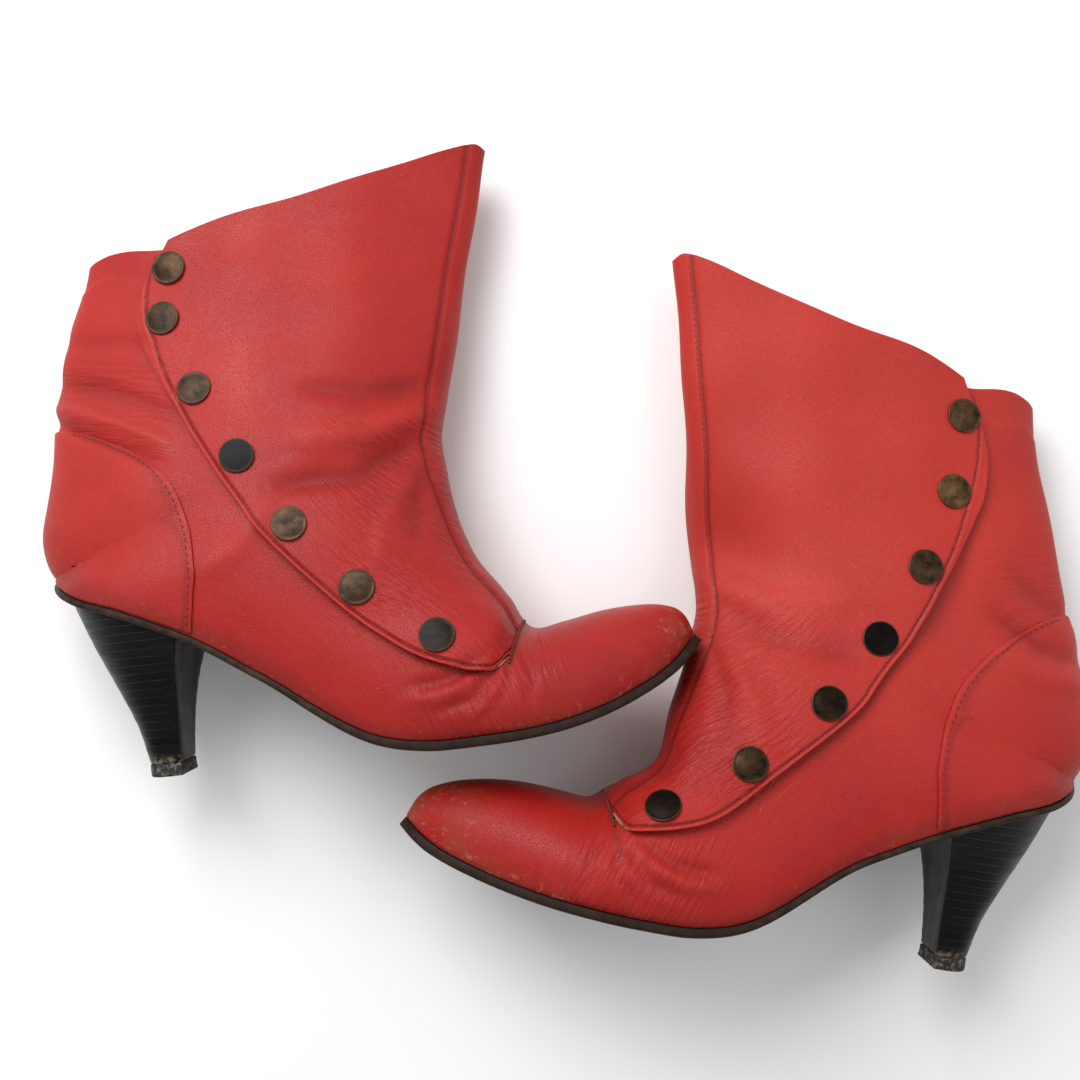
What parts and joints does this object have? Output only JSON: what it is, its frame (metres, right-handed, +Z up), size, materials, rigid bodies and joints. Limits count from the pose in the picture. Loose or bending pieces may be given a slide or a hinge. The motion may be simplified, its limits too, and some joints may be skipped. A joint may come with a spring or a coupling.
{
  "type": "heeled ankle boots",
  "caption": "Pair of high-heeled leather ankle boots lying on their sides, head to tail, each closed by a curved snap-button flap over a hollow shaft and foot.",
  "frame": {"origin": "on the surface that the pair lies on, under the middle of the pair's bounding box", "axes": "+Z up from the surface, +X from the right boot to the left boot, +Y towards the tops of the shafts"},
  "size_m": [0.4146, 0.326, 0.0908],
  "materials": {
    "red_leather": "creased semi-gloss",
    "sole_leather": "matt, worn edge",
    "heel_stack": "black, polished layers",
    "heel_rubber": "scuffed",
    "leatherboard": "raw",
    "spring_steel": "brushed",
    "snap_metal": "antiqued, dark"
  },
  "bodies": {
    "right_boot": {"right_vamp": "red_leather", "right_outer_quarter": "red_leather", "right_inner_quarter": "red_leather", "right_front_panel": "red_leather", "right_counter_cover": "red_leather", "right_sock_lining": "red_leather", "right_toe_puff": "leatherboard", "right_counter_stiffener": "leatherboard", "right_insole_board": "leatherboard", "right_shank": "spring_steel", "right_heel_screw": "spring_steel", "right_outsole": "sole_leather", "right_heel_block": "heel_stack", "right_heel_breast_cover": "heel_stack", "right_top_lift": "heel_rubber", "right_snap_stud_1": "snap_metal", "right_snap_stud_2": "snap_metal", "right_snap_stud_3": "snap_metal", "right_snap_stud_4": "snap_metal", "right_snap_stud_5": "snap_metal", "right_snap_stud_6": "snap_metal", "right_snap_stud_7": "snap_metal"},
    "right_flap": {"right_flap": "red_leather", "right_snap_cap_1": "snap_metal", "right_snap_cap_2": "snap_metal", "right_snap_cap_3": "snap_metal", "right_snap_cap_4": "snap_metal", "right_snap_cap_5": "snap_metal", "right_snap_cap_6": "snap_metal", "right_snap_cap_7": "snap_metal"},
    "left_boot": {"left_vamp": "red_leather", "left_outer_quarter": "red_leather", "left_inner_quarter": "red_leather", "left_front_panel": "red_leather", "left_counter_cover": "red_leather", "left_sock_lining": "red_leather", "left_toe_puff": "leatherboard", "left_counter_stiffener": "leatherboard", "left_insole_board": "leatherboard", "left_shank": "spring_steel", "left_heel_screw": "spring_steel", "left_outsole": "sole_leather", "left_heel_block": "heel_stack", "left_heel_breast_cover": "heel_stack", "left_top_lift": "heel_rubber", "left_snap_stud_1": "snap_metal", "left_snap_stud_2": "snap_metal", "left_snap_stud_3": "snap_metal", "left_snap_stud_4": "snap_metal", "left_snap_stud_5": "snap_metal", "left_snap_stud_6": "snap_metal", "left_snap_stud_7": "snap_metal"},
    "left_flap": {"left_flap": "red_leather", "left_snap_cap_1": "snap_metal", "left_snap_cap_2": "snap_metal", "left_snap_cap_3": "snap_metal", "left_snap_cap_4": "snap_metal", "left_snap_cap_5": "snap_metal", "left_snap_cap_6": "snap_metal", "left_snap_cap_7": "snap_metal"}
  },
  "joints": [
    {"name": "right_flap_hinge", "type": "hinge", "parent": "right_boot", "child": "right_flap", "pos_m": [-0.02153, -0.02792, 0.0662], "axis": [-0.0871, 0.9793, -0.1826], "range_deg": [0, 70]},
    {"name": "left_boot_slide", "type": "slide", "parent": "right_boot", "child": "left_boot", "axis": [1, 0, 0], "range_m": [0, 0.12]},
    {"name": "left_flap_hinge", "type": "hinge", "parent": "left_boot", "child": "left_flap", "pos_m": [0.01944, -0.09419, 0.06827], "axis": [-0.1394, -0.9769, 0.162], "range_deg": [0, 70]}
  ]
}
